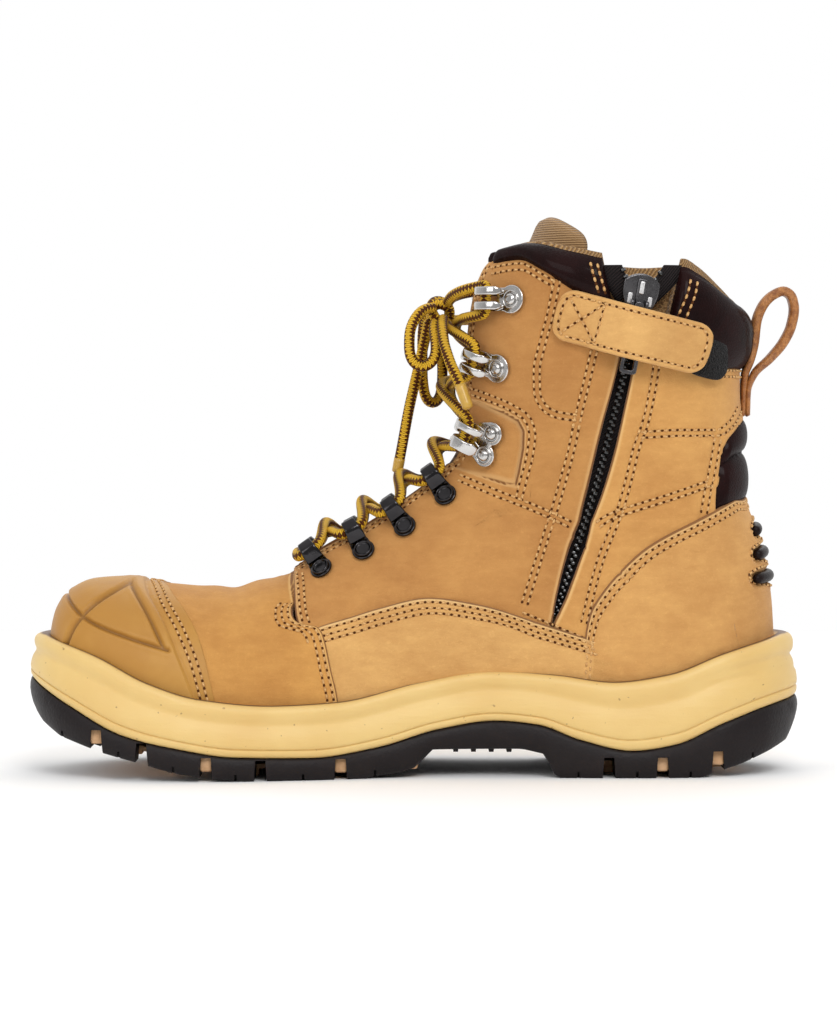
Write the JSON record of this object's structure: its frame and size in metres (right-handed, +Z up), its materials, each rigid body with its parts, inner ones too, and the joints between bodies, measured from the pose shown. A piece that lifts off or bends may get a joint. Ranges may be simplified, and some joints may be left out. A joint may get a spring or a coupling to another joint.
{
  "type": "safety boot",
  "caption": "Lace-up safety boot for the right foot with a zip on its inner side, moulded toe bumper, padded collar, pull loop and lugged rubber sole.",
  "frame": {"origin": "middle of the boot's box at the floor, without the lace's bow", "axes": "+X to the toe, +Y to the inner side of the foot where the zip is, +Z up"},
  "size_m": [0.308, 0.1149, 0.2251],
  "materials": {
    "nubuck": "matte nubuck",
    "bumper": "moulded, satin",
    "midsole_foam": "moulded foam skin",
    "outsole_rubber": "moulded",
    "tan_rubber": "moulded",
    "padded_leather": "smooth, padded",
    "textile": "woven lining",
    "zip_tape": "woven tape with plastic teeth",
    "zip_metal": "black",
    "dark_nickel": "black nickel",
    "bright_nickel": "bright nickel",
    "lace": "round braided cord"
  },
  "bodies": {
    "boot": {"upper": "nubuck", "vamp": "nubuck", "counter": "nubuck", "zip_strap": "nubuck", "pull_loop": "nubuck", "toe_bumper": "bumper", "midsole": "midsole_foam", "outsole": "outsole_rubber", "tread_forefoot": "tan_rubber", "tread_heel": "tan_rubber", "collar_front": "padded_leather", "collar_rear": "padded_leather", "heel_pad": "padded_leather", "flex_rib_1": "padded_leather", "flex_rib_2": "padded_leather", "flex_rib_3": "padded_leather", "tongue": "textile", "insole": "textile", "zip_tape_front": "zip_tape", "zip_tape_rear": "zip_tape", "strap_grip": "zip_tape", "zip_slider": "zip_metal", "eyelet_1_medial": "dark_nickel", "eyelet_1_lateral": "dark_nickel", "eyelet_2_medial": "dark_nickel", "eyelet_2_lateral": "dark_nickel", "eyelet_3_medial": "dark_nickel", "eyelet_3_lateral": "dark_nickel", "eyelet_4_medial": "dark_nickel", "eyelet_4_lateral": "dark_nickel", "ankle_hook_medial": "bright_nickel", "ankle_hook_lateral": "bright_nickel", "top_hook_1_medial": "bright_nickel", "top_hook_1_lateral": "bright_nickel", "top_hook_2_medial": "bright_nickel", "top_hook_2_lateral": "bright_nickel", "lace_bar": "lace", "lace_cross_1": "lace", "lace_cross_2": "lace", "lace_cross_3": "lace", "lace_cross_4": "lace", "lace_cross_5": "lace", "lace_cross_6": "lace", "lace_tie_medial": "lace", "lace_tie_lateral": "lace", "lace_knot": "lace", "lace_loop_medial": "lace", "lace_loop_lateral": "lace", "lace_end_medial": "lace", "lace_end_lateral": "lace"},
    "zip_tab": {"zip_pull": "zip_metal"}
  },
  "joints": [
    {"name": "zip_pull_hinge", "type": "hinge", "parent": "boot", "child": "zip_tab", "pos_m": [-0.08752, 0.04621, 0.18479], "axis": [0.982, 0.1054, 0.1565], "range_deg": [0, 5]}
  ]
}
